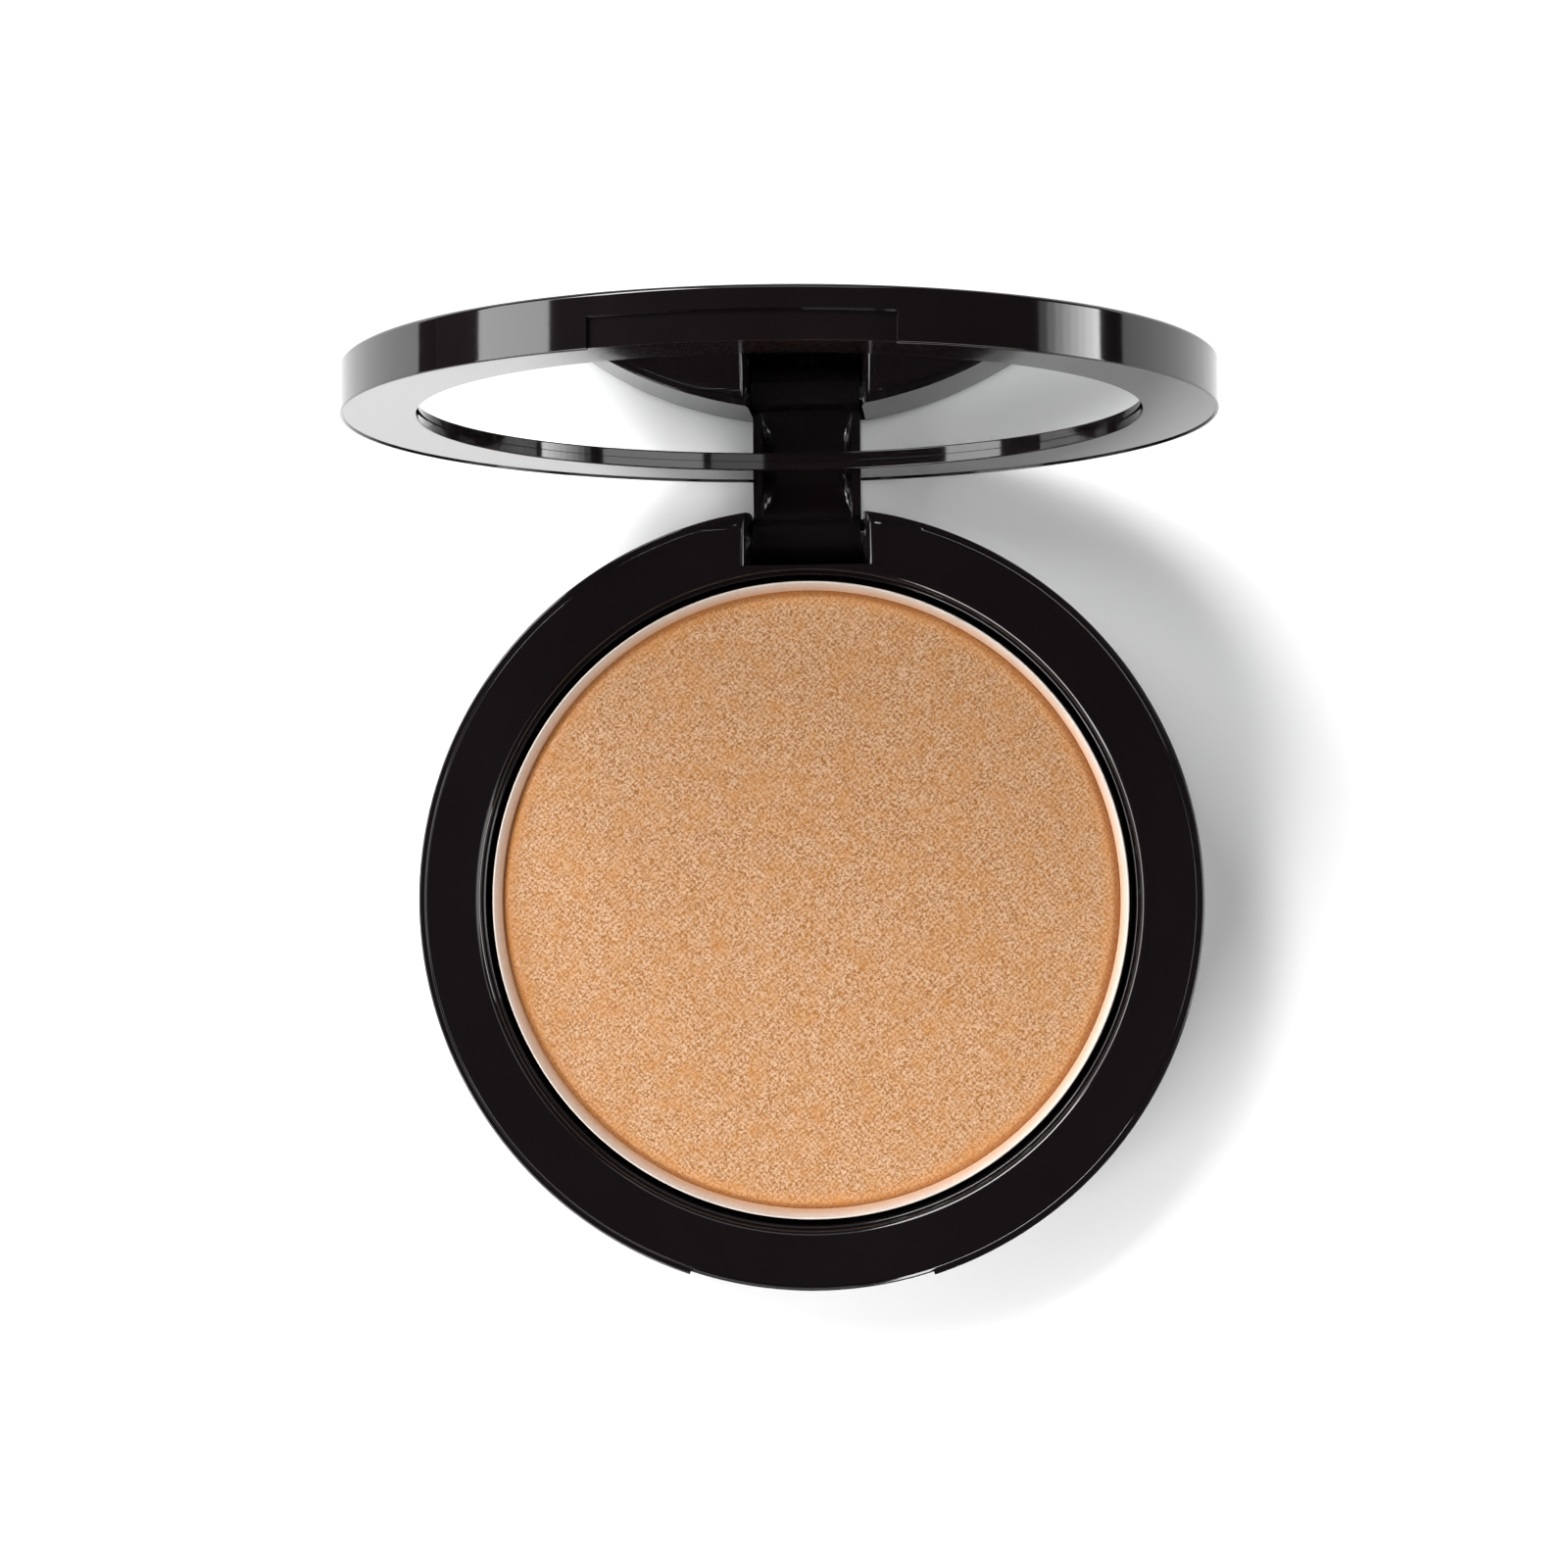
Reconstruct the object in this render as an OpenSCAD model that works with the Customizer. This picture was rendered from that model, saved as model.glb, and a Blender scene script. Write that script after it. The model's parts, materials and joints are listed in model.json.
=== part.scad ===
// Round powder compact: a shallow base with a pressed powder pan, and a lid with a mirror.
// The lid swings on a moulded arm that drops into a slot at the back of the base.
// The origin is the centre of the flat underside. +Z is up and the hinge is at +Y.

/* [Case] */
// Outer diameter of base and lid
case_d = 72.6; // [72.2:0.1:76]
// Height of the base, from the underside to the deck
base_h = 9.5; // [9.3:0.1:10.5]
// Thickness of the lid, from its face to its back
lid_h = 4.2; // [4.2:0.1:5]
// Gap between the deck and the lid's face when closed
close_gap = 0.1; // [0.05:0.05:0.3]
// Wall of the base shell
wall = 1.1; // [1:0.1:1.3]
// Floor of the base shell
floor_t = 1; // [0.9:0.1:1.1]
// Radius of the base's lower edge
foot_r = 1.3; // [0.8:0.1:1.5]
// Radius of the base's upper edge
brow_r = 0.6; // [0.5:0.05:0.7]

/* [Powder] */
// Diameter of the metal pan's rim
pan_d = 59; // [57:0.5:59]
// Height of the pan
pan_h = 4.3; // [3.6:0.1:4.3]
// Drop from the deck to the pan's rim
pan_drop = 0.8; // [0.7:0.1:1]
// Drop from the pan's rim to the powder
powder_drop = 1; // [0.6:0.1:1.4]
// Thickness of the pan's metal
pan_t = 0.3; // [0.25:0.05:0.5]

/* [Mirror] */
// Diameter of the mirror's opening in the lid
mirror_d = 60.1; // [56:0.1:60.5]
// Drop from the lid's face to the mirror
mirror_drop = 1; // [0.8:0.1:1.1]
// Thickness of the glass
glass_t = 1; // [0.8:0.1:1]

/* [Hinge] */
// Distance of the hinge axis behind the centre
pivot_y = 33.5; // [33.3:0.1:33.6]
// Depth of the hinge axis below the deck
pivot_drop = 5.9; // [5.8:0.1:6]
// Angle that the lid opens, up to its stop
open_angle = 92.6; // [90:0.1:93]
// Width of the hinge arm
arm_w = 10.1; // [8:0.1:12]
// Gap at each side of the arm in its slot
slot_gap = 0.15; // [0.1:0.05:0.3]
// Diameter of the hinge pin
pin_d = 1.8; // [1.5:0.1:2]
// Radial clearance of the pin in the arm
pin_fit = 0.05; // [0.02:0.01:0.08]

/* [Thumb recess] */
// Angle that the recess spans at the front
recess_angle = 36.4; // [30:0.1:42]
// Depth of the recess in the wall
recess_depth = 0.35; // [0.2:0.05:0.5]
// Height of the recess in the lid, from its face
recess_lid = 2.4; // [1.8:0.1:3]
// Height of the recess in the base, from the deck
recess_base = 3.4; // [2:0.1:5]

/* [Hidden] */
$fn = 180;
gloss_black = "#141214";
case_r = case_d / 2;
over = 1;                            // how far a cut runs past the solid
deck_t = 1;                          // deck plate
deck_r = case_r - brow_r - 0.12;     // deck plate's edge, inside the shell's lip
seam = 0.03;                         // gap at a glued seam
well_r = pan_d / 2 + 0.6;            // powder well
well_wall = 0.85;
well_step = 0.35;                    // ledge around the top of the well
well_round = 0.6;                    // rounding from the deck to the ledge
rim_z = base_h - pan_drop;           // pan's rim
pan_z = rim_z - pan_h;               // pan's underside
glue_t = 0.2;
well_floor = 0.9;
well_z = pan_z - glue_t;             // well floor's upper face
pivot_z = base_h - pivot_drop;
face_z = base_h + close_gap;         // lid's face when closed
face_r = pivot_drop + close_gap;     // hinge axis to the lid's face
slot_w = arm_w + 2 * slot_gap;
slot_y = 30.95;                      // slot's inner wall
slot_z = 0.7;                        // slot's floor
slot_round = 0.8;                    // rounding along the slot's upper edges
knuckle_r = pivot_y - slot_y - 0.2;
boss_h = 0.05;                       // knuckle's end faces stand proud of the arm's sides
arm_rise = 0.8;                      // hinge axis to the arm's inner side
rail_w = 0.85;                       // rails along the arm's inner side
rail_h = 0.9;
rail_start = 2.4;                    // hinge axis to the start of the rails
arm_r = case_r - 0.1;
ear_l = 4.2;                         // length of each hinge ear
pin_l = slot_w + 3.8;
magnet = [10, 3, 1.6];
magnet_y = -33;
magnet_gap = 0.05;
skin = 0.5;                          // plastic in front of the lid's magnet
cover_t = 1;
cover_r = case_r - 1.3;
pad_t = 0.1;
web_t = 0.6;                         // wall between the mirror and the cover
label_r = 24;
label_t = 0.1;
label_drop = 0.25;

// Half profile of a disc with a rounded lower and upper edge
module disc_profile(r, h, low, high) {
    inset = max(low, high);
    square([r - inset, h]);
    translate([0, low]) square([r, h - low - high]);
    square([r - low, low + 0.01]);
    translate([r - low, low]) circle(low, $fn = 48);
    translate([0, h - high - 0.01]) square([r - high, high + 0.01]);
    translate([r - high, h - high]) circle(high, $fn = 48);
}

// Places the lid's parts, drawn closed, at the open position
module opened() {
    translate([0, pivot_y, pivot_z]) rotate([-open_angle, 0, 0])
        translate([0, -pivot_y, -pivot_z]) children();
}

module hinge_axis(r, l) {
    translate([0, pivot_y, pivot_z]) rotate([0, 90, 0]) cylinder(r = r, h = l, center = true);
}

// Slot for the arm, with its upper edges rounded over
module hinge_slot() {
    depth = case_r - slot_y + over;
    translate([-slot_w / 2, slot_y, slot_z]) cube([slot_w, depth, base_h]);
    for (side = [-1, 1]) difference() {
        translate([side * (slot_w + slot_round) / 2, slot_y + depth / 2, base_h])
            cube([slot_round, depth, 2 * slot_round], center = true);
        translate([side * (slot_w / 2 + slot_round), slot_y - over, base_h - slot_round])
            rotate([-90, 0, 0]) cylinder(r = slot_round, h = depth + 2 * over, $fn = 48);
    }
}

// Relief of the base's rear edge, so that the lid's face swings past it
module swing_relief() {
    difference() {
        translate([-case_r, pivot_y, pivot_z + 3]) cube([case_d, case_r, base_h]);
        hinge_axis(face_r - 0.06, case_d + over);
    }
}

module thumb_recess(z, h) {
    translate([0, 0, z]) rotate([0, 0, -90 - recess_angle / 2])
        rotate_extrude(angle = recess_angle) translate([case_r - recess_depth, 0])
            square([2 * over, h]);
}

module magnet_pocket(z, h) {
    translate([0, magnet_y, z + h / 2])
        cube([magnet.x + 2 * magnet_gap, magnet.y + 2 * magnet_gap, h], center = true);
}

module base_shell() {
    ledge_z = base_h - deck_t;
    color(gloss_black) difference() {
        rotate_extrude() difference() {
            disc_profile(case_r, base_h, foot_r, brow_r);
            translate([0, floor_t]) square([case_r - wall, base_h]);
            translate([0, ledge_z]) square([deck_r + seam, base_h]);
            translate([0, -over]) square([label_r, over + label_drop]);
        }
        hinge_slot();
        swing_relief();
        thumb_recess(base_h - recess_base, recess_base + over);
    }
}

// Deck, powder well and hinge ears, moulded as one
module base_deck() {
    ledge_z = base_h - deck_t;
    well_or = well_r + well_wall;
    round_r = well_r + well_step + well_round;
    color(gloss_black) difference() {
        union() {
            rotate_extrude() {
                difference() {
                    translate([well_r, ledge_z]) square([deck_r - well_r, deck_t]);
                    translate([well_r - over, base_h - well_round])
                        square([round_r - well_r + over, over]);
                }
                translate([round_r, base_h - well_round]) intersection() {
                    circle(well_round, $fn = 48);
                    translate([-well_round, 0]) square(well_round);
                }
                translate([well_r, well_z - well_floor]) square([well_wall, ledge_z - well_z + well_floor]);
                translate([0, well_z - well_floor]) square([well_or, well_floor]);
                translate([20, floor_t]) square([1, well_z - well_floor - floor_t + 0.1]);
            }
            intersection() {
                union() {
                    for (side = [-1, 1]) translate([side * (slot_w + ear_l) / 2, 33.5, (ledge_z + floor_t) / 2])
                        cube([ear_l, 7, ledge_z - floor_t], center = true);
                    translate([-6, -35, 5.4]) cube([12, 4.4, ledge_z - 5.3]);
                }
                difference() {
                    cylinder(r = case_r - wall - 0.05, h = base_h);
                    translate([0, 0, -over]) cylinder(r = well_r + well_wall / 2, h = 2 * base_h);
                }
            }
        }
        hinge_slot();
        swing_relief();
        hinge_axis(pin_d / 2, pin_l);
        magnet_pocket(base_h - 1.2 - magnet.z - over, magnet.z + over);
    }
}

module powder_pan() {
    rim_r = pan_d / 2;
    seat_r = rim_r - 0.8;
    color("#c9ccd0") rotate_extrude() polygon([[0, pan_z], [seat_r, pan_z], [rim_r, rim_z], [rim_r - 0.2, rim_z],
        [seat_r + 0.1, rim_z - powder_drop], [seat_r - pan_t, pan_z + pan_t], [0, pan_z + pan_t]]);
}

module pressed_powder() {
    seat_r = pan_d / 2 - 0.8;
    top_z = rim_z - powder_drop;
    color("#d6a676") rotate_extrude() polygon([[0, pan_z + pan_t], [seat_r - pan_t, pan_z + pan_t],
        [seat_r + 0.1, top_z], [0, top_z]]);
}

module pan_adhesive() {
    color("#e8e4d8") translate([0, 0, well_z]) cylinder(r = 20, h = glue_t);
}

module base_magnet() {
    color("#8d9096") translate([0, magnet_y, base_h - 1.2 - magnet.z / 2]) cube(magnet, center = true);
}

module underside_label() {
    color("#d8d8d6") translate([0, 0, label_drop - label_t]) cylinder(r = label_r - 0.3, h = label_t);
}

module hinge_pin() {
    color("#b4b8bc") hinge_axis(pin_d / 2, pin_l);
}

// Upright arm of the lid, drawn closed, with its knuckle and its inner rails
module hinge_arm() {
    hinge_axis(knuckle_r, arm_w + 2 * boss_h);
    intersection() {
        translate([0, pivot_y, pivot_z]) rotate([open_angle - 90, 0, 0]) difference() {
            translate([-arm_w / 2, -arm_rise, 0]) cube([arm_w, 6, face_r + over]);
            translate([rail_w - arm_w / 2, -arm_rise - over, rail_start])
                cube([arm_w - 2 * rail_w, rail_h + over, face_r + over]);
        }
        cylinder(r = arm_r, h = face_z + 0.6);
    }
}

// Ring around the mirror, the lid's side wall and the hinge arm, moulded as one
module lid_frame() {
    mirror_depth = mirror_drop + glass_t + pad_t;
    color(gloss_black) opened() difference() {
        union() {
            translate([0, 0, face_z]) rotate_extrude() difference() {
                disc_profile(case_r, lid_h, 0.2, 0.35);
                translate([0, -over]) square([mirror_d / 2, mirror_depth + over]);
                translate([0, mirror_depth + web_t]) square([cover_r - 1.6, lid_h]);
                translate([0, lid_h - cover_t]) square([cover_r + seam, cover_t + over]);
            }
            hinge_arm();
        }
        hinge_axis(pin_d / 2 + pin_fit, case_d);
        thumb_recess(face_z - over, recess_lid + over);
        magnet_pocket(face_z + skin, lid_h);
    }
}

module lid_cover() {
    color(gloss_black) opened() translate([0, 0, face_z + lid_h - cover_t])
        rotate_extrude() disc_profile(cover_r, cover_t, 0.05, 0.15);
}

module mirror_glass() {
    color("#eef1f3") opened() translate([0, 0, face_z + mirror_drop])
        cylinder(r = mirror_d / 2 - 0.1, h = glass_t);
}

module mirror_pad() {
    color("#e8e4d8") opened() translate([0, 0, face_z + mirror_drop + glass_t])
        cylinder(r = mirror_d / 2 - 2, h = pad_t);
}

module lid_magnet() {
    color("#8d9096") opened() translate([0, magnet_y, face_z + skin + magnet.z / 2])
        cube(magnet, center = true);
}

base_shell();
base_deck();
powder_pan();
pressed_powder();
pan_adhesive();
base_magnet();
underside_label();
hinge_pin();
lid_frame();
lid_cover();
mirror_glass();
mirror_pad();
lid_magnet();
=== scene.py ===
# Round powder compact, open, on a plain pale table.
# Pieces are drawn in millimetres, and each is turned into metres when it is finished.
import json
from math import acos, asin, cos, degrees, pi, radians, sin

import bmesh
import bpy
from mathutils import Matrix, Vector
from mathutils import noise as hills

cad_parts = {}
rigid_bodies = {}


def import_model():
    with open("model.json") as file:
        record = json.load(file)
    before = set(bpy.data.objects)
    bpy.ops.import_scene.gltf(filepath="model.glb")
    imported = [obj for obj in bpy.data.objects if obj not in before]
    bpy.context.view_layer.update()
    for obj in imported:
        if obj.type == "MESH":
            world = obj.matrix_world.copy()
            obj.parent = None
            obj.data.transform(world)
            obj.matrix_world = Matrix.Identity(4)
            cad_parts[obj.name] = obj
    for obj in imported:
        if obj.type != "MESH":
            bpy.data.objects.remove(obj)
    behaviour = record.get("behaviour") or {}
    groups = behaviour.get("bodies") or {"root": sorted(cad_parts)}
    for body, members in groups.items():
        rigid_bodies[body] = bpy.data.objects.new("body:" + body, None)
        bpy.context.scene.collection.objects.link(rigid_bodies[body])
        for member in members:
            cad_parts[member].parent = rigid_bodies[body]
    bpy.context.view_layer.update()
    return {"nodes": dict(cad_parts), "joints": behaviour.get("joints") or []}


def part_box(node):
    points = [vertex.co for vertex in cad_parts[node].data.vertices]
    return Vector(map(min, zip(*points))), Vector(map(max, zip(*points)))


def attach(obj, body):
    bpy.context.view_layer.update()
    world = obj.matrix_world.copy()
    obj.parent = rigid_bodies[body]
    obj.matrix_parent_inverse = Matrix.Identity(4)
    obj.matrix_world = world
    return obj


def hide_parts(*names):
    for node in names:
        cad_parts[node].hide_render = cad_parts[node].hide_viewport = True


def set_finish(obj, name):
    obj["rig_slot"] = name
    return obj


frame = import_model()
mm = 0.001
reach = 3  # how far a cutting tool goes beyond what it cuts, in millimetres


def nodeBox(node):
    # a node's lowest and highest corners, in millimetres
    low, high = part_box(node)
    return low / mm, high / mm


shellBox = nodeBox("base_shell")
panBox = nodeBox("powder_pan")
powderBox = nodeBox("pressed_powder")
labelBox = nodeBox("underside_label")
pinBox = nodeBox("hinge_pin")
coverR = nodeBox("lid_cover")[1].x
glassR = nodeBox("mirror_glass")[1].x
hinge = frame["joints"][0]
pivotY = hinge["pos_m"][1] / mm
pivotZ = hinge["pos_m"][2] / mm
openAngle = radians(hinge["range_deg"][1])
caseR = shellBox[1].x
baseH = shellBox[1].z


def arc(cx, cz, r, start, end, steps=8):
    # points on an arc in an outline's plane, angles in degrees
    turns = [radians(start + (end - start) * i / steps) for i in range(steps + 1)]
    return [(cx + r * cos(t), cz + r * sin(t)) for t in turns]


def quarterTurns(steps):
    return [pi / 2 * i / steps for i in range(steps + 1)]


def fullTurns(steps):
    return [2 * pi * i / steps for i in range(steps)]


def newPiece(name, mesh):
    piece = bpy.data.objects.new(name, mesh)
    bpy.context.scene.collection.objects.link(piece)
    return piece


def closedPiece(name, bm):
    # a piece from a closed bmesh, its faces turned outwards
    bmesh.ops.recalc_face_normals(bm, faces=bm.faces)
    mesh = bpy.data.meshes.new(name)
    bm.to_mesh(mesh)
    bm.free()
    return newPiece(name, mesh)


def ringPiece(name, bm, rings):
    # joins each ring of vertices to the next, and the last to the first; a ring can be one vertex
    for a, b in zip(rings, rings[1:] + rings[:1]):
        count = max(len(a), len(b))
        if count == 1:
            continue
        for i in range(count):
            j = (i + 1) % count
            if len(a) == 1:
                bm.faces.new((a[0], b[j], b[i]))
            elif len(b) == 1:
                bm.faces.new((a[i], a[j], b[0]))
            else:
                bm.faces.new((a[i], a[j], b[j], b[i]))
    return closedPiece(name, bm)


def lathe(name, outline, segments=288):
    # turns a closed outline of (radius, height) points about Z; points on the axis become one vertex
    bm = bmesh.new()
    rings = []
    for r, z in outline:
        if r < 1e-6:
            rings.append([bm.verts.new((0, 0, z))])
        else:
            rings.append([bm.verts.new((r * cos(t), r * sin(t), z)) for t in fullTurns(segments)])
    return ringPiece(name, bm, rings)


def prism(name, outline, low, high, axis="Z"):
    # a closed outline pushed from low to high along an axis
    place = {
        "X": lambda a, b, h: (h, a, b),  # outline of (y, z) points
        "Y": lambda a, b, h: (a, h, b),  # (x, z)
        "Z": lambda a, b, h: (a, b, h),  # (x, y)
    }[axis]
    bm = bmesh.new()
    bottom = [bm.verts.new(place(a, b, low)) for a, b in outline]
    top = [bm.verts.new(place(a, b, high)) for a, b in outline]
    bm.faces.new(bottom)
    bm.faces.new(top)
    for i in range(len(outline)):
        j = (i + 1) % len(outline)
        bm.faces.new((bottom[i], bottom[j], top[j], top[i]))
    return closedPiece(name, bm)


def applyChanges(piece):
    # takes the piece's modifiers into its mesh
    graph = bpy.context.evaluated_depsgraph_get()
    mesh = bpy.data.meshes.new_from_object(piece.evaluated_get(graph))
    piece.modifiers.clear()
    old = piece.data
    piece.data = mesh
    bpy.data.meshes.remove(old)


def combine(piece, tool, operation):
    change = piece.modifiers.new(operation, "BOOLEAN")
    change.operation = operation
    change.solver = "EXACT"
    change.object = tool
    applyChanges(piece)
    bpy.data.objects.remove(tool)


def cut(piece, tool):
    combine(piece, tool, "DIFFERENCE")


def join(piece, tool):
    combine(piece, tool, "UNION")


edges = {
    "bevelFrom": 34,  # degrees between two faces
    "sharpFrom": 40,
    "flatWeight": 60,
}


def shade(piece):
    # shades large faces flat and the rest smooth, and keeps the sharp edges
    piece.data.shade_smooth()
    piece.data.set_sharp_from_angle(angle=radians(edges["sharpFrom"]))
    normals = piece.modifiers.new("normals", "WEIGHTED_NORMAL")
    normals.keep_sharp = True
    normals.weight = edges["flatWeight"]
    applyChanges(piece)


def softenEdges(piece, width, steps=2):
    # breaks the sharp edges with a small bevel
    bevel = piece.modifiers.new("bevel", "BEVEL")
    bevel.width = width
    bevel.segments = steps
    bevel.limit_method = "ANGLE"
    bevel.angle_limit = radians(edges["bevelFrom"])
    bevel.use_clamp_overlap = True
    bevel.miter_outer = "MITER_ARC"
    applyChanges(piece)
    shade(piece)


def finishPiece(piece, body, slot, *nodes):
    piece.data.transform(Matrix.Scale(mm, 4))
    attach(piece, body)
    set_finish(piece, slot)
    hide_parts(*nodes)


toPivot = Matrix.Translation((0, pivotY, pivotZ))
# swings a lid piece, drawn closed, to the open position
toOpen = toPivot @ Matrix.Rotation(-openAngle, 4, "X") @ toPivot.inverted()


class Wire:
    # a socket in a material's tree, so that shader sums are written as Python
    def __init__(self, tree, socket):
        self.tree = tree
        self.socket = socket

    def math(self, operation, *terms):
        return addNode(self.tree, "ShaderNodeMath", {"operation": operation}, dict(enumerate(terms)))

    def __add__(self, other):
        return self.math("ADD", self, other)

    __radd__ = __add__

    def __sub__(self, other):
        return self.math("SUBTRACT", self, other)

    def __rsub__(self, other):
        return self.math("SUBTRACT", other, self)

    def __mul__(self, other):
        return self.math("MULTIPLY", self, other)

    __rmul__ = __mul__


def withAlpha(colour):
    return (*colour, 1)


def addNode(tree, kind, settings=None, values=None, out=0):
    # makes one node: settings first, then the values or wires of its sockets, and returns one output
    made = tree.nodes.new(kind)
    for key, value in (settings or {}).items():
        if key == "stops":
            ramp = made.color_ramp
            while len(ramp.elements) < len(value):
                ramp.elements.new(1)
            for element, (place, colour) in zip(ramp.elements, value):
                element.position = place
                element.color = withAlpha(colour)
        else:
            setattr(made, key, value)
    for key, value in (values or {}).items():
        if isinstance(value, Wire):
            tree.links.new(value.socket, made.inputs[key])
        else:
            made.inputs[key].default_value = value
    return Wire(tree, made.outputs[out]) if len(made.outputs) else None


def newMaterial(name):
    material = bpy.data.materials.new(name)
    material.use_nodes = True
    material.node_tree.nodes.clear()
    return material, material.node_tree


def closeMaterial(material, values):
    # ends a material with one Principled shader, whose sockets take fixed values or wires
    shader = addNode(material.node_tree, "ShaderNodeBsdfPrincipled", None, values)
    addNode(material.node_tree, "ShaderNodeOutputMaterial", None, {"Surface": shader})
    return material


def surfacePlace(tree):
    return addNode(tree, "ShaderNodeTexCoord", out="Object")


def axisDistance(tree, place):
    # distance from the object's upright axis, in metres
    flat = addNode(tree, "ShaderNodeVectorMath", {"operation": "MULTIPLY"}, {0: place, 1: (1, 1, 0)})
    return addNode(tree, "ShaderNodeVectorMath", {"operation": "LENGTH"}, {0: flat}, out=1)


def softStep(tree, value, low, high):
    # 0 below low, 1 above high, and smooth between them
    settings = {"interpolation_type": "SMOOTHSTEP"}
    return addNode(tree, "ShaderNodeMapRange", settings, {"Value": value, "From Min": low, "From Max": high})


def noise(tree, place, scale, detail=3, rough=0.5):
    values = {"Vector": place, "Scale": scale, "Detail": detail, "Roughness": rough}
    return addNode(tree, "ShaderNodeTexNoise", None, values)


def rampOf(tree, value, stops):
    return addNode(tree, "ShaderNodeValToRGB", {"stops": stops}, {"Fac": value})


def blendColour(tree, share, first, second):
    # each colour is a wire or three numbers
    first, second = (c if isinstance(c, Wire) else withAlpha(c) for c in (first, second))
    return addNode(tree, "ShaderNodeMix", {"data_type": "RGBA"}, {0: share, 6: first, 7: second}, out=2)


def bump(tree, height, strength, depth):
    values = {"Height": height, "Strength": strength, "Distance": depth}
    return addNode(tree, "ShaderNodeBump", None, values)


view = {
    "place": (20.11, 11.37, 294.83),  # millimetres
    "turn": (-0.170, 4.446, -0.645),  # degrees
    "lens": 71.30,
    "sensor": 36,
    "near": 0.01,  # metres
    "far": 20,
}


def addCamera():
    data = bpy.data.cameras.new("camera")
    data.sensor_width = view["sensor"]
    data.lens = view["lens"]
    data.clip_start = view["near"]
    data.clip_end = view["far"]
    camera = bpy.data.objects.new("camera", data)
    camera.location = Vector(view["place"]) * mm
    camera.rotation_euler = [radians(a) for a in view["turn"]]
    bpy.context.scene.collection.objects.link(camera)
    bpy.context.scene.camera = camera


addCamera()
print("camera ready")

gloss = {
    "colour": (0.0036, 0.0022, 0.0026),
    "colourWorn": (0.0058, 0.0042, 0.0046),
    "ior": 1.5,
    "specular": 0.5,
    "roughness": 0.05,
    "haze": 0.05,  # added where clouds and scuffs meet
    "cloudScale": 90,
    "scuffScale": 900,
    "peelScale": 420,
    "peel": 0.02,
    "peelDepth": 0.0001,  # metres
}


def glossBlack():
    material, tree = newMaterial("glossBlack")
    place = surfacePlace(tree)
    cloud = noise(tree, place, gloss["cloudScale"], detail=4)
    scuff = noise(tree, place, gloss["scuffScale"], detail=5, rough=0.7)
    peel = noise(tree, place, gloss["peelScale"], detail=2)
    return closeMaterial(material, {
        "Base Color": blendColour(tree, cloud, gloss["colour"], gloss["colourWorn"]),
        "Roughness": gloss["roughness"] + gloss["haze"] * (cloud * scuff),
        "Normal": bump(tree, peel, gloss["peel"], gloss["peelDepth"]),
        "IOR": gloss["ior"],
        "Specular IOR Level": gloss["specular"],
    })


powderLook = {
    "pale": (0.525, 0.335, 0.205),
    "deep": (0.235, 0.083, 0.0075),
    "warm": (0.395, 0.162, 0.034),
    # edge: painted shade and warm bounce light for where the cake turns down
    "edge": (0.48, 0.192, 0.045),
    "weave": 0.00042,  # metres from thread to thread
    "slants": (45, -45),  # degrees
    "wander": 9.0,  # how far the threads stray
    "grainScale": 5200,
    "fleckSize": 1.7,  # against the grain
    "mottleScale": 600,
    "threadShare": 0.11,  # what each gives to the height
    "grainShare": 0.6,
    "fleckShare": 0.3,
    "middle": 0.56,  # the height that gets the middle tone
    "contrast": 4.0,
    "warmFrom": 0.42,  # where the warm mottle starts, and how fast it grows
    "warmGain": 1.8,
    "paintedShadeFrom": 0.93,  # where the painted shade and warm bounce light of the edge tone lie, as shares of the cake's radius
    "paintedShadeTo": 0.995,
    "paintedShadeShare": 0.6,
    "roughness": 0.66,
    "fleckShine": 0.3,
    "relief": 0.2,
    "reliefDepth": 0.0002,  # metres
    "ior": 1.45,
    "specular": 0.4,
}


def powderThread(tree, place, slant):
    turned = {"Vector": place, "Angle": radians(slant)}
    values = {
        "Vector": addNode(tree, "ShaderNodeVectorRotate", {"rotation_type": "Z_AXIS"}, turned),
        "Scale": pi / 10 / powderLook["weave"],
        "Distortion": powderLook["wander"],
        "Detail": 3,
        "Detail Scale": 2.0,
    }
    return addNode(tree, "ShaderNodeTexWave", {"wave_type": "BANDS", "bands_direction": "X"}, values)


def pressedPowder():
    # a fine cloth-like grain with paler pearly flecks, and a darker, warmer edge tone that paints shade and
    # warm bounce light where the cake turns down
    look = powderLook
    material, tree = newMaterial("pressedPowder")
    place = surfacePlace(tree)
    first, second = (powderThread(tree, place, slant) for slant in look["slants"])
    grain = noise(tree, place, look["grainScale"], detail=2, rough=0.6)
    fleck = noise(tree, place, look["grainScale"] / look["fleckSize"], detail=2)
    mottle = noise(tree, place, look["mottleScale"], rough=0.6)
    height = (first + second) * look["threadShare"] + grain * look["grainShare"] + fleck * look["fleckShare"]
    tone = (height - look["middle"]) * look["contrast"] + 0.5
    body = rampOf(tree, tone, [(0.0, look["deep"]), (1.0, look["pale"])])
    body = blendColour(tree, (mottle - look["warmFrom"]) * look["warmGain"], body, look["warm"])
    r = powderBox[1].x * mm
    # rim: mask of the painted shade and warm bounce light towards the cake's edge, by the pan's wall
    rim = softStep(tree, axisDistance(tree, place), r * look["paintedShadeFrom"], r * look["paintedShadeTo"])
    return closeMaterial(material, {
        "Base Color": blendColour(tree, rim * look["paintedShadeShare"], body, look["edge"]),
        "Roughness": look["roughness"] - look["fleckShine"] * fleck,
        "Normal": bump(tree, height, look["relief"], look["reliefDepth"]),
        "IOR": look["ior"],
        "Specular IOR Level": look["specular"],
    })


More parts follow.
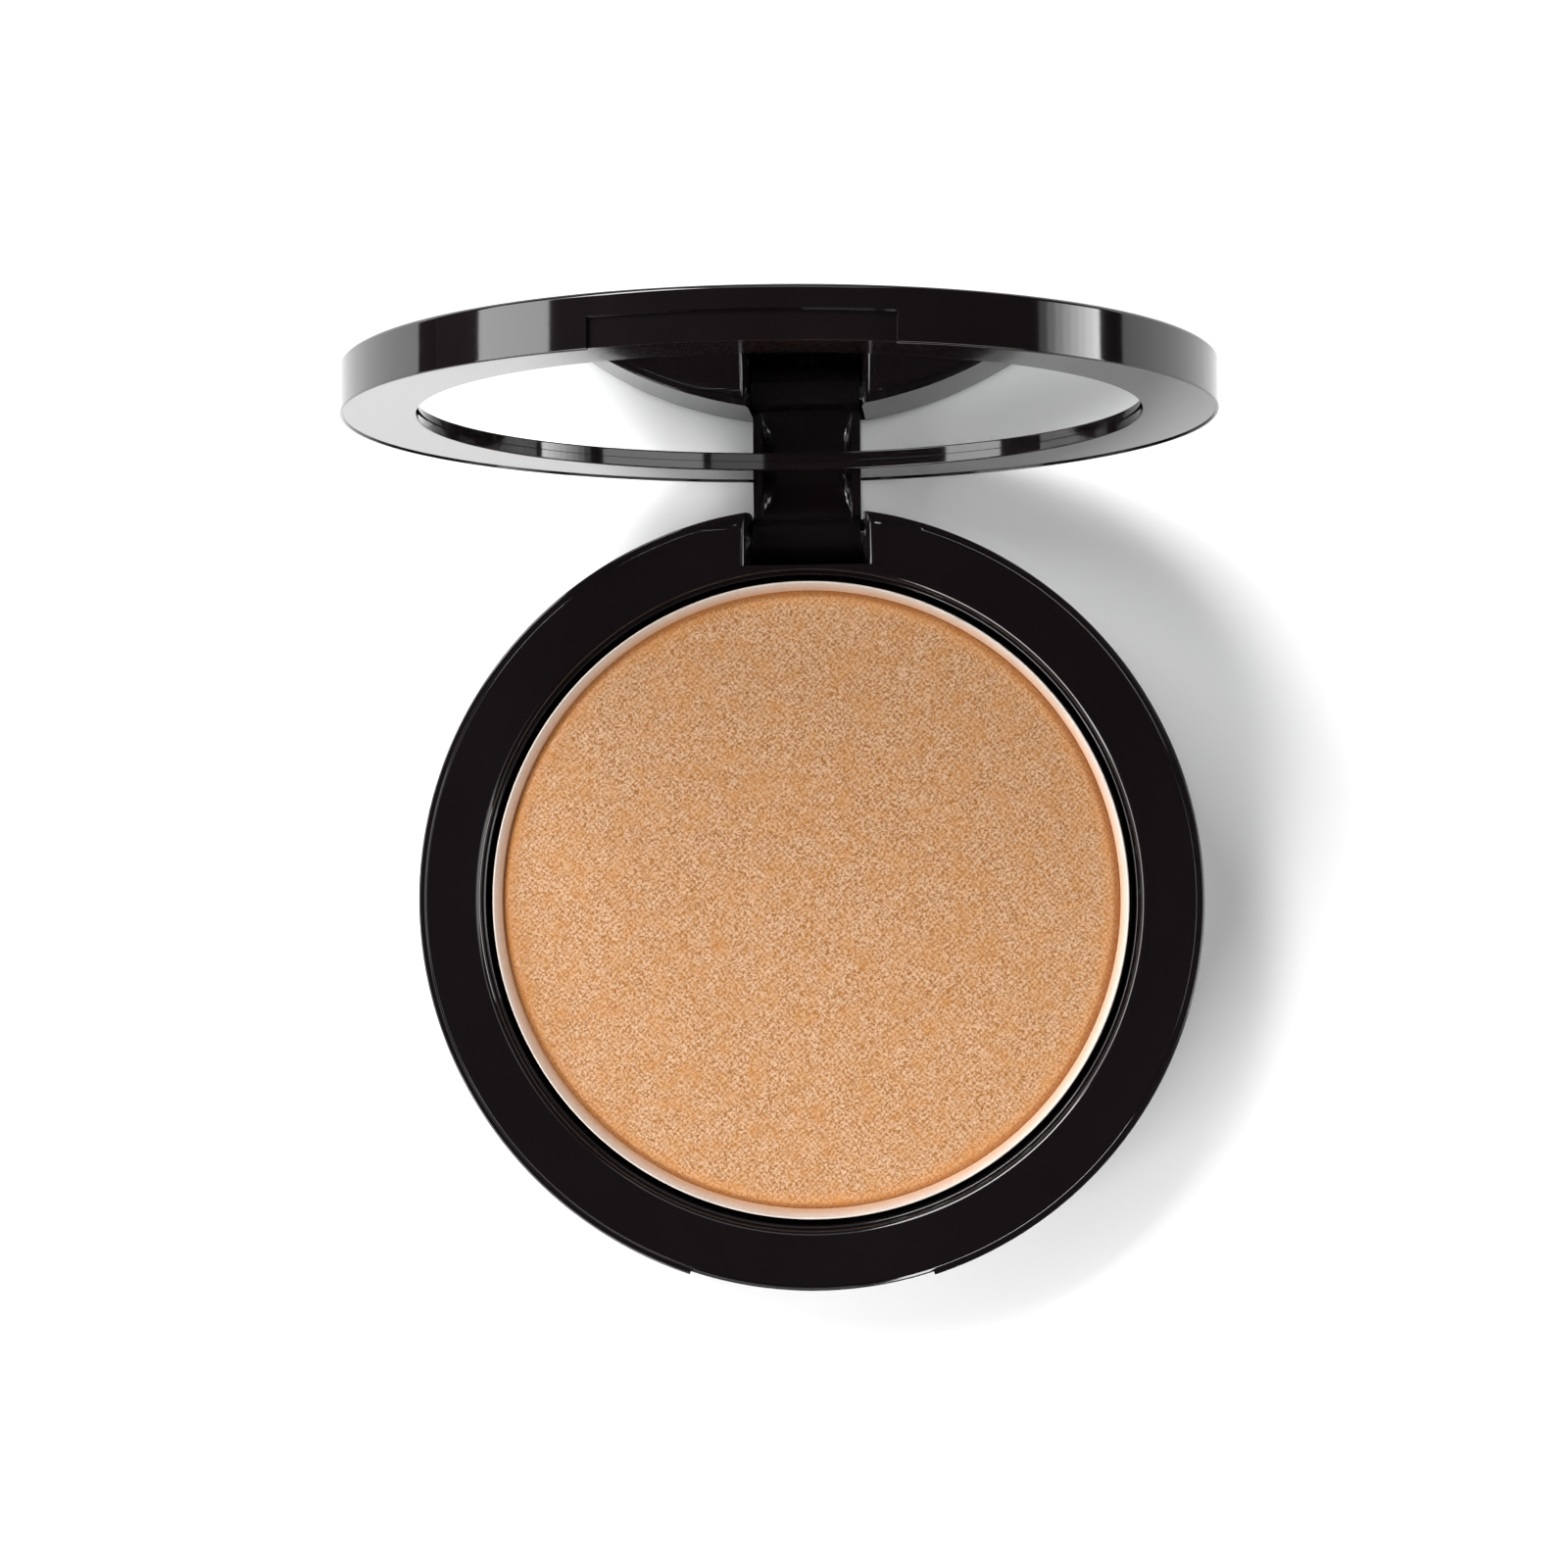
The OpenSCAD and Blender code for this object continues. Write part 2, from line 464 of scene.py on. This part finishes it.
panLook = {
    "dust": ((0.50, 0.30, 0.18), (0.72, 0.50, 0.36)),
    "metal": ((0.50, 0.42, 0.36), (0.70, 0.63, 0.58)),
    "bareFrom": 0.0007,  # metres in from the rim's outside
    "bareTo": 0.0002,
    "metallic": 0.45,
    "roughness": 0.5,
    "dustRough": 0.3,
    "bareShine": 0.15,
    "specular": 0.3,
    "cloudScale": 300,
    "dustScale": 2600,
    "tooth": 0.2,
    "toothDepth": 0.00005,  # metres
}


def panMetal():
    # thin metal whose inner wall is coated with powder dust; the rim is barer
    look = panLook
    material, tree = newMaterial("panMetal")
    place = surfacePlace(tree)
    cloud = noise(tree, place, look["cloudScale"], detail=4, rough=0.6)
    dust = noise(tree, place, look["dustScale"], detail=4, rough=0.7)
    rimR = panBox[1].x * mm
    bare = softStep(tree, axisDistance(tree, place), rimR - look["bareFrom"], rimR - look["bareTo"])
    dusty = blendColour(tree, dust, *look["dust"])
    metal = blendColour(tree, dust, *look["metal"])
    return closeMaterial(material, {
        "Base Color": blendColour(tree, bare, dusty, metal),
        "Metallic": look["metallic"] * bare * cloud,
        "Roughness": look["roughness"] + look["dustRough"] * dust - look["bareShine"] * bare,
        "Normal": bump(tree, dust, look["tooth"], look["toothDepth"]),
        "Specular IOR Level": look["specular"],
    })


silver = {
    "tones": ((0.90, 0.915, 0.91), (0.93, 0.94, 0.94)),
    "roughness": 0.004,
    "haze": 0.006,
    "cloudScale": 60,
}


def silveredGlass():
    material, tree = newMaterial("silveredGlass")
    cloud = noise(tree, surfacePlace(tree), silver["cloudScale"])
    return closeMaterial(material, {
        "Base Color": blendColour(tree, cloud, *silver["tones"]),
        "Roughness": silver["roughness"] + silver["haze"] * cloud,
        "Metallic": 1.0,
    })


# finishes of the pieces that are seldom seen: name, two close tones, roughness, metallic and noise scale
plainLooks = {
    "label": ("labelPaper", (0.78, 0.77, 0.74), (0.84, 0.83, 0.81), 0.45, 0.0, 500),
    "pin": ("drawnSteel", (0.55, 0.56, 0.58), (0.66, 0.67, 0.69), 0.22, 1.0, 900),
    "magnet": ("nickelPlate", (0.56, 0.55, 0.52), (0.68, 0.67, 0.64), 0.2, 1.0, 700),
    "adhesive": ("adhesiveFilm", (0.70, 0.68, 0.60), (0.80, 0.78, 0.72), 0.5, 0.0, 500),
}
plainTooth = {"haze": 0.15, "strength": 0.1, "depth": 0.00005}  # depth in metres


def plainFinish(name, first, second, rough, metallic, scale):
    material, tree = newMaterial(name)
    cloud = noise(tree, surfacePlace(tree), scale, detail=4, rough=0.6)
    return closeMaterial(material, {
        "Base Color": blendColour(tree, cloud, first, second),
        "Roughness": rough + plainTooth["haze"] * cloud,
        "Normal": bump(tree, cloud, plainTooth["strength"], plainTooth["depth"]),
        "Metallic": metallic,
    })


finishes = {
    "case": glossBlack(),
    "powder": pressedPowder(),
    "pan": panMetal(),
    "mirror": silveredGlass(),
    **{slot: plainFinish(*look) for slot, look in plainLooks.items()},
}
print("materials ready")

hingeSlot = {
    "left": 5.15,  # side walls, from the middle
    "right": 5.4,
    "inner": 30.95,  # y of its inner wall
    "floor": 0.7,
    "leftRound": 0.75,  # width of the rounding along each upper edge
    "rightRound": 1.05,
    "roundDepth": 2.0,
}
recess = {
    "angle": 36.4,  # degrees of the wall that the thumb recess takes
    "depth": 0.35,
    "base": 3.4,  # its height on the base, and on the lid
    "lid": 2.4,
}
swing = {"clearance": 0.06, "end": 20}  # end: degrees above the hinge axis
closeGap = 0.1
faceZ = baseH + closeGap
faceR = faceZ - pivotZ


def slotTool():
    # prism along Y whose sides flare out over the rounded upper edges
    depth = hingeSlot["roundDepth"]
    sides = []
    for sign, half, width in (
        (1, hingeSlot["right"], hingeSlot["rightRound"]),
        (-1, hingeSlot["left"], hingeSlot["leftRound"]),
    ):
        curve = [(half + width * (1 - cos(t)), baseH - depth * (1 - sin(t))) for t in quarterTurns(16)]
        side = [(half, hingeSlot["floor"]), *curve, (half + width, baseH + reach)]
        sides.append([(sign * x, z) for x, z in side])
    return prism("slotTool", sides[0] + sides[1][::-1], hingeSlot["inner"], caseR + reach, "Y")


def swingTool():
    # what the lid's face sweeps over the rear edge, as a prism along X
    r = faceR - swing["clearance"]
    start = degrees(asin((baseH - pivotZ) / r))
    sweep = arc(pivotY, pivotZ, r, start, swing["end"], steps=40)
    back, top, half = caseR + reach, baseH + reach, caseR + reach
    outline = [*sweep, (back, sweep[-1][1]), (back, top), (sweep[0][0], top)]
    return prism("swingTool", outline, -half, half, "X")


def thumbTool(low, high):
    # ring sector in front of the wall
    half = recess["angle"] / 2
    inner = arc(0, 0, caseR - recess["depth"], -90 - half, -90 + half, steps=48)
    outer = arc(0, 0, caseR + reach, -90 + half, -90 - half, steps=12)
    return prism("thumbTool", inner + outer, low, high)


shell = {
    "wall": 1.1,
    "floor": 1.0,
    "foot": 1.3,  # rounding of the lower outer edge
    "brow": 0.22,  # rounding of the upper outer edge
    "ledge": 1.0,  # depth of the seat for the deck
    "lip": 0.72,  # width of the lip around the deck
    "lipSlope": 0.2,  # width of the lip's sloped inner edge
    "lipRise": 0.125,
    "deckGap": 0.03,
    "labelDrop": 0.25,
    "labelGap": 0.3,
    "labelRound": 0.15,
    "edge": 0.04,
}
deckR = caseR - shell["lip"]


def baseShell():
    inner, ledgeZ, lipR = caseR - shell["wall"], baseH - shell["ledge"], deckR + shell["deckGap"]
    foot, brow, soft = shell["foot"], shell["brow"], shell["labelRound"]
    labelR = labelBox[1].x + shell["labelGap"]
    outline = [
        (0, shell["labelDrop"]),
        (labelR, shell["labelDrop"]),
        *arc(labelR + soft, soft, soft, 180, 270, steps=4),
        *arc(caseR - foot, foot, foot, -90, 0, steps=12),
        *arc(caseR - brow, baseH - brow, brow, 0, 90, steps=10),
        (lipR + shell["lipSlope"], baseH),
        (lipR, baseH - shell["lipRise"]),
        (lipR, ledgeZ),
        (inner, ledgeZ),
        (inner, shell["floor"]),
        (0, shell["floor"]),
    ]
    piece = lathe("baseShell", outline)
    cut(piece, slotTool())
    cut(piece, swingTool())
    cut(piece, thumbTool(baseH - recess["base"], baseH + reach))
    softenEdges(piece, shell["edge"])
    finishPiece(piece, "base", "case", "base_shell")


deck = {
    "plate": 1.0,
    "floor": 0.9,
    "seat": 0.2,  # from the pan down to the well's floor
    "wellGap": 0.6,  # around the pan
    "wellWall": 0.85,
    "wellRound": 0.3,
    "step": 0.35,
    "stepRound": 0.22,
    "round": 0.6,  # rounding of the deck's inner edge
    "rimRound": 0.06,
    "edge": 0.05,
}
ear = {
    "inner": 0.5,  # sideways from the slot's wall
    "outer": 4.2,
    "front": 30.2,  # y
    "back": 33.8,
    "foot": 1.02,  # z
    "overlap": 0.3,  # into the deck's plate
}


def baseDeck():
    wellR = panBox[1].x + deck["wellGap"]
    wellZ = panBox[0].z - deck["seat"]
    ledgeZ = baseH - deck["plate"]
    stepZ = baseH - deck["round"]
    outer = wellR + deck["wellWall"]
    corner, step, inner, rim = deck["wellRound"], deck["stepRound"], deck["round"], deck["rimRound"]
    outline = [
        (0, wellZ),
        *arc(wellR - corner, wellZ + corner, corner, 270, 360, steps=4),
        *arc(wellR + step, stepZ - step, step, 180, 90, steps=6),
        *arc(wellR + deck["step"] + inner, stepZ, inner, 180, 90, steps=12),
        *arc(deckR - rim, baseH - rim, rim, 90, 0, steps=4),
        (deckR, ledgeZ),
        (outer, ledgeZ),
        (outer, wellZ - deck["floor"]),
        (0, wellZ - deck["floor"]),
    ]
    piece = lathe("baseDeck", outline)
    foot, top = ear["foot"], ledgeZ + ear["overlap"]
    side = [(ear["front"], foot), (ear["back"], foot), (ear["back"], top), (ear["front"], top)]
    near, far = hingeSlot["left"] - ear["inner"], hingeSlot["left"] + ear["outer"]
    for low, high in ((-far, -near), (near, far)):
        join(piece, prism("ear", side, low, high, "X"))
    cut(piece, slotTool())
    cut(piece, swingTool())
    softenEdges(piece, deck["edge"])
    finishPiece(piece, "base", "case", "base_deck")


pan = {
    "taper": 0.8,  # how much narrower the seat is than the rim
    "metal": 0.3,
    "seatRound": 0.4,
    "insideRound": 0.3,
    "rimRound": 0.1,
}


def powderPan():
    rimR, low, high = panBox[1].x, panBox[0].z, panBox[1].z
    seatR, rim, corner, inside = rimR - pan["taper"], pan["rimRound"], pan["seatRound"], pan["insideRound"]
    floor = low + pan["metal"]
    outline = [
        (0, low),
        *arc(seatR - corner, low + corner, corner, 270, 360, steps=4),
        (rimR, high - rim),
        *arc(rimR - rim, high - rim, rim, 0, 180, steps=6),
        (seatR + rim, powderBox[1].z),
        *arc(seatR - pan["metal"] - inside, floor + inside, inside, 0, -90, steps=4),
        (0, floor),
    ]
    piece = lathe("powderPan", outline)
    shade(piece)
    finishPiece(piece, "base", "pan", "powder_pan")


cake = {
    "rings": 110,
    "segments": 480,
    "crowding": 1.35,  # above 1, the rings stand closer towards the edge
    "gap": 0.02,  # to the pan's wall, and below the frame's height
    "sag": 0.12,
    "roll": 0.6,  # how far the edge turns down, over what width and how suddenly
    "rollWidth": 0.8,
    "rollPower": 1.5,
    "relief": 0.012,
    "reliefSize": 0.8,
    "reliefLayer": 3.7,
    "footIn": 0.5,  # how much narrower the underside is
}


def powderCake():
    # the pressed top dips a little towards its middle, rolls off at the pan's wall and has a faint relief
    r, low, high = powderBox[1].x - cake["gap"], powderBox[0].z, powderBox[1].z
    turns = fullTurns(cake["segments"])
    bm = bmesh.new()
    rings = [[bm.verts.new((0, 0, high - cake["sag"] / 2))]]
    for i in range(1, cake["rings"] + 1):
        share = 1 - (1 - i / cake["rings"]) ** cake["crowding"]
        turnedDown = max(0, 1 - (1 - share) * r / cake["rollWidth"]) ** cake["rollPower"]
        level = high - cake["sag"] / 2 * (1 - share * share) - cake["roll"] * turnedDown - cake["gap"]
        ring = []
        for turn in turns:
            x, y = r * share * cos(turn), r * share * sin(turn)
            wave = hills.noise(Vector((x, y, cake["reliefLayer"])) / cake["reliefSize"])
            ring.append(bm.verts.new((x, y, level + cake["relief"] * wave)))
        rings.append(ring)
    footR = r - cake["footIn"]
    rings.append([bm.verts.new((footR * cos(t), footR * sin(t), low)) for t in turns])
    rings.append([bm.verts.new((0, 0, low))])
    piece = ringPiece("powderCake", bm, rings)
    shade(piece)
    finishPiece(piece, "base", "powder", "pressed_powder")


pin = {"edge": 0.15, "segments": 48}


def hingePin():
    r, half, edge = pinBox[1].z - pivotZ, pinBox[1].x, pin["edge"]
    end = [(r, half - edge), (r - edge, half), (0, half)]
    outline = [(x, -z) for x, z in reversed(end)] + end
    piece = lathe("hingePin", outline, pin["segments"])
    piece.data.transform(toPivot @ Matrix.Rotation(pi / 2, 4, "Y"))
    shade(piece)
    finishPiece(piece, "base", "pin", "hinge_pin")


label = {"edge": 0.04}


def undersideLabel():
    r, low, high, edge = labelBox[1].x, labelBox[0].z, labelBox[1].z, label["edge"]
    outline = [(0, low), *arc(r - edge, low + edge, edge, 270, 360, steps=3), (r, high), (0, high)]
    piece = lathe("undersideLabel", outline)
    shade(piece)
    finishPiece(piece, "base", "label", "underside_label")


for make in (baseShell, baseDeck, powderPan, powderCake, hingePin, undersideLabel):
    make()
print("base ready")

lid = {
    "height": 4.2,
    "faceEdge": 0.14,
    "lip": 0.3,  # width of the raised lip around the face
    "lipSink": 0.14,
    "lipFoot": 0.02,  # bevels at the lip's foot and top
    "lipTop": 0.04,
    "dish": 0.28,  # depth of the face at the mirror's opening
    "dishRound": 0.15,
    "backEdge": 0.35,
    "rebateGap": 0.03,  # around the cover
    "rebateRound": 0.1,
    "ledge": 1.6,  # width of the cover's seat
    "mirrorGap": 0.1,
    "mirrorDrop": 1.0,
    "glass": 1.0,
    "glassEdge": 0.05,
    "glassLean": 0.2,  # degrees, as the glass sits on its pad
    "pad": 0.1,
    "web": 0.6,
    "cover": 1.0,
    "coverEdge": 0.15,
    "edge": 0.05,
}
arm = {
    "width": 10.1,
    "rise": 0.8,  # hinge axis to its inner side
    "knuckleGap": 0.2,  # to the slot's inner wall
    "root": 0.8,  # how far it goes into the lid's frame
    "inset": 0.1,  # from the case's side
    "rail": 0.85,
    "channel": 0.9,
    "start": 2.0,
    "ramp": 2.0,  # length of the slope down to the channel's floor
    "soft": 1.3,  # width of the curve from the channel's floor up to each rail
    "edge": 0.12,
    "mirrorSpare": 0.3,  # kept clear around the mirror's opening
}
mirrorR = glassR + lid["mirrorGap"]


def armSide():
    # side of the arm when closed, about the hinge axis: (y, z) points
    knuckleR = pivotY - hingeSlot["inner"] - arm["knuckleGap"]
    meet = degrees(acos(arm["rise"] / knuckleR))
    curl = arc(0, 0, knuckleR, 180 - meet, 360, steps=48)
    back, top = caseR - arm["inset"] - pivotY + 1, faceR + arm["root"]
    return [*curl, (back, 0), (back, top), (-arm["rise"], top)]


def channelTool():
    # the hollow of the arm's inner side: curved up to both rails, and sloped at its start
    wide, deep, soft = arm["width"] / 2 - arm["rail"], arm["channel"], arm["soft"]
    curve = [(wide - soft * (1 - sin(t)), deep * cos(t)) for t in quarterTurns(12)]
    right = [(x, z - arm["rise"]) for x, z in (*curve, (wide, -reach))]
    left = [(-x, z) for x, z in reversed(right)]
    tool = prism("channelTool", right + left, arm["start"], faceR + arm["root"] + reach)
    floor, slope, spare = deep - arm["rise"], arm["ramp"] / deep, 0.4
    side = [
        (floor + 1, arm["start"] - 1),
        (floor + 1, arm["start"] + (deep + 1) * slope),
        (-arm["rise"] - spare, arm["start"] - spare * slope),
    ]
    cut(tool, prism("rampTool", side, -wide - reach, wide + reach, "X"))
    return tool


def hingeArm():
    # the edges are softened before the round cut, so that the outer face stays smooth
    half, armR = arm["width"] / 2, caseR - arm["inset"]
    clearR, clearZ = mirrorR + arm["mirrorSpare"], faceZ - 0.02
    piece = prism("hingeArm", armSide(), -half, half, "X")
    cut(piece, channelTool())
    softenEdges(piece, arm["edge"], steps=3)
    piece.data.transform(toPivot @ Matrix.Rotation(openAngle - pi / 2, 4, "X"))
    wall = [(armR, -reach), (armR + reach, -reach), (armR + reach, faceZ + reach), (armR, faceZ + reach)]
    cut(piece, lathe("outsideTool", wall, 480))
    opening = [(0, clearZ), (clearR, clearZ), (clearR, faceZ + reach), (0, faceZ + reach)]
    cut(piece, lathe("openingTool", opening))
    shade(piece)
    return piece


def lidFrame():
    face, back, top = lid["faceEdge"], lid["backEdge"], lid["height"]
    depth = lid["mirrorDrop"] + lid["glass"] + lid["pad"]
    rebateR, rebate = coverR + lid["rebateGap"], lid["rebateRound"]
    seatR, seatZ, webZ = coverR - lid["ledge"], top - lid["cover"], depth + lid["web"]
    lipR, lipFoot, lipTop = caseR - lid["lip"], lid["lipFoot"], lid["lipTop"]
    soft = lid["dishRound"]
    outline = [
        (0, depth),
        (mirrorR, depth),
        *arc(mirrorR + soft, lid["dish"] + soft, soft, 180, 268, steps=6),
        (lipR - lipFoot, lid["lipSink"]),
        (lipR, lid["lipSink"] - lipFoot),
        (lipR, lipTop),
        (lipR + lipTop, 0),
        *arc(caseR - face, face, face, -90, 0),
        *arc(caseR - back, top - back, back, 0, 90),
        *arc(rebateR + rebate, top - rebate, rebate, 90, 180, steps=4),
        (rebateR, seatZ),
        (seatR, seatZ),
        (seatR, webZ),
        (0, webZ),
    ]
    piece = lathe("lidFrame", outline)
    piece.data.transform(Matrix.Translation((0, 0, faceZ)))
    cut(piece, thumbTool(faceZ - reach, faceZ + recess["lid"]))
    softenEdges(piece, lid["edge"])
    join(piece, hingeArm())
    shade(piece)
    piece.data.transform(toOpen)
    finishPiece(piece, "lid", "case", "lid_frame")


def lidCover():
    high, edge = faceZ + lid["height"], lid["coverEdge"]
    low = high - lid["cover"]
    outline = [(0, low), (coverR, low), *arc(coverR - edge, high - edge, edge, 0, 90, steps=6), (0, high)]
    piece = lathe("lidCover", outline)
    shade(piece)
    piece.data.transform(toOpen)
    finishPiece(piece, "lid", "case", "lid_cover")


def mirrorGlass():
    low, edge = faceZ + lid["mirrorDrop"], lid["glassEdge"]
    high = low + lid["glass"]
    outline = [(0, low), *arc(glassR - edge, low + edge, edge, 270, 360, steps=3), (glassR, high), (0, high)]
    piece = lathe("mirrorGlass", outline)
    shade(piece)
    middle = Matrix.Translation((0, 0, (low + high) / 2))
    lean = Matrix.Rotation(radians(lid["glassLean"]), 4, "X")
    piece.data.transform(toOpen @ middle @ lean @ middle.inverted())
    finishPiece(piece, "lid", "mirror", "mirror_glass")


for make in (lidFrame, lidCover, mirrorGlass):
    make()
print("lid ready")

# the sealed inner pieces keep their CAD shapes
sealedFinishes = {
    "pan_adhesive": "adhesive",
    "base_magnet": "magnet",
    "lid_magnet": "magnet",
    "mirror_pad": "adhesive",
}


def dressPieces():
    for piece in bpy.context.scene.objects:
        if piece.type == "MESH" and piece.get("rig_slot"):
            piece.data.materials.clear()
            piece.data.materials.append(finishes[piece["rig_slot"]])
    for node, finish in sealedFinishes.items():
        for place in frame["nodes"][node].material_slots:
            place.material = finishes[finish]


dressPieces()
print("finishes on")

studio = {  # metres
    "tableHalf": 2.0,
    "tableTones": ((0.86, 0.86, 0.86), (0.88, 0.88, 0.88)),
    "cardTones": ((0.008, 0.008, 0.008), (0.012, 0.012, 0.012)),
    "cardLeft": -0.38,  # where the pale part of the table ends, as reflections see it
    "cardRight": 0.31,
    "cardWidth": 1.0,
    "cardHalf": 1.5,
    "cardRise": 0.0004,
    "toneScale": 8,
    "boxDistance": 0.9,
    "boxRise": 0.04,
    "dim": 0.03,  # brightness of the room around the lights
}
# each soft box: middle azimuth and spread, lowest and highest elevation, in degrees, then its brightness
softBoxes = {
    "windowLow": (180, 84, 14, 36, 7.0),
    "windowFront": (226, 44, 28, 46, 12.5),
    "windowBack": (129, 44, 31, 51, 18.0),
    "fillBack": (80, 50, 25, 60, 1.4),
    "fillHigh": (0, 100, 62, 80, 1.5),
    "fillRight": (350, 28, 22, 60, 3.6),
}
# a low strip on the right that grows dimmer towards its top, made of thin boxes
strip = {"azimuth": 358, "spread": 38, "low": -2, "high": 18, "steps": 8, "bright": 12.0, "dim": 1.0}


def mattPaint(name, tones, rough, specular):
    material, tree = newMaterial(name)
    cloud = noise(tree, surfacePlace(tree), studio["toneScale"], detail=2)
    return closeMaterial(material, {
        "Base Color": blendColour(tree, cloud, *tones),
        "Roughness": rough,
        "Specular IOR Level": specular,
    })


def flatBoard(name, left, right, half, height, paint):
    mesh = bpy.data.meshes.new(name)
    corners = [(left, -half, height), (right, -half, height), (right, half, height), (left, half, height)]
    mesh.from_pydata(corners, [], [(0, 1, 2, 3)])
    mesh.materials.append(paint)
    board = newPiece(name, mesh)
    return board


def table():
    half = studio["tableHalf"]
    flatBoard("table", -half, half, half, 0, mattPaint("tablePaint", studio["tableTones"], 0.9, 0.1))


def darkCards():
    # black cards lying on the table: only reflections see them
    paint = mattPaint("cardBlack", studio["cardTones"], 1.0, 0)
    left, right, width = studio["cardLeft"], studio["cardRight"], studio["cardWidth"]
    for name, near, far in (("cardLeft", left - width, left), ("cardRight", right, right + width)):
        card = flatBoard(name, near, far, studio["cardHalf"], studio["cardRise"], paint)
        card.visible_camera = False
        card.visible_diffuse = False
        card.visible_shadow = False


def softBox(name, azimuth, spread, low, high, brightness):
    # a rectangle that fills the given angles, seen from just above the table, and faces the object
    distance = studio["boxDistance"]
    middle = radians((low + high) / 2)
    turn = radians(azimuth)
    away = Vector((cos(middle) * cos(turn), cos(middle) * sin(turn), sin(middle))) * distance
    data = bpy.data.lights.new(name, "AREA")
    data.shape = "RECTANGLE"
    data.size = 2 * distance * cos(middle) * sin(radians(spread) / 2)
    data.size_y = 2 * distance * sin(radians(high - low) / 2)
    data.energy = brightness * pi * data.size * data.size_y
    box = bpy.data.objects.new(name, data)
    box.location = away + Vector((0, 0, studio["boxRise"]))
    box.rotation_euler = (-away).to_track_quat("-Z", "Y").to_euler()
    box.visible_camera = False
    bpy.context.scene.collection.objects.link(box)


def lowStrip():
    steps = strip["steps"]
    tall = (strip["high"] - strip["low"]) / steps
    for i in range(steps):
        low = strip["low"] + i * tall
        glow = strip["bright"] + (strip["dim"] - strip["bright"]) * i / (steps - 1)
        softBox(f"strip{i}", strip["azimuth"], strip["spread"], low, low + tall, glow)


def room():
    # a dim room, a little paler low down
    world = bpy.data.worlds.new("room")
    bpy.context.scene.world = world
    world.use_nodes = True
    tree = world.node_tree
    tree.nodes.clear()
    place = addNode(tree, "ShaderNodeTexCoord", out="Generated")
    height = addNode(tree, "ShaderNodeSeparateXYZ", None, {0: place}, out=2)
    dim = studio["dim"]
    shade = rampOf(tree, height, [(0.0, (2 * dim, 2 * dim, 2 * dim)), (1.0, (dim, dim, dim))])
    glow = addNode(tree, "ShaderNodeBackground", None, {"Color": shade, "Strength": 1.0})
    addNode(tree, "ShaderNodeOutputWorld", None, {"Surface": glow})


table()
darkCards()
for name, settings in softBoxes.items():
    softBox(name, *settings)
lowStrip()
room()
bpy.context.scene.view_settings.view_transform = "Standard"
bpy.context.scene.cycles.blur_glossy = 0  # so that the mirror throws its light back on the table
print("table and light ready")
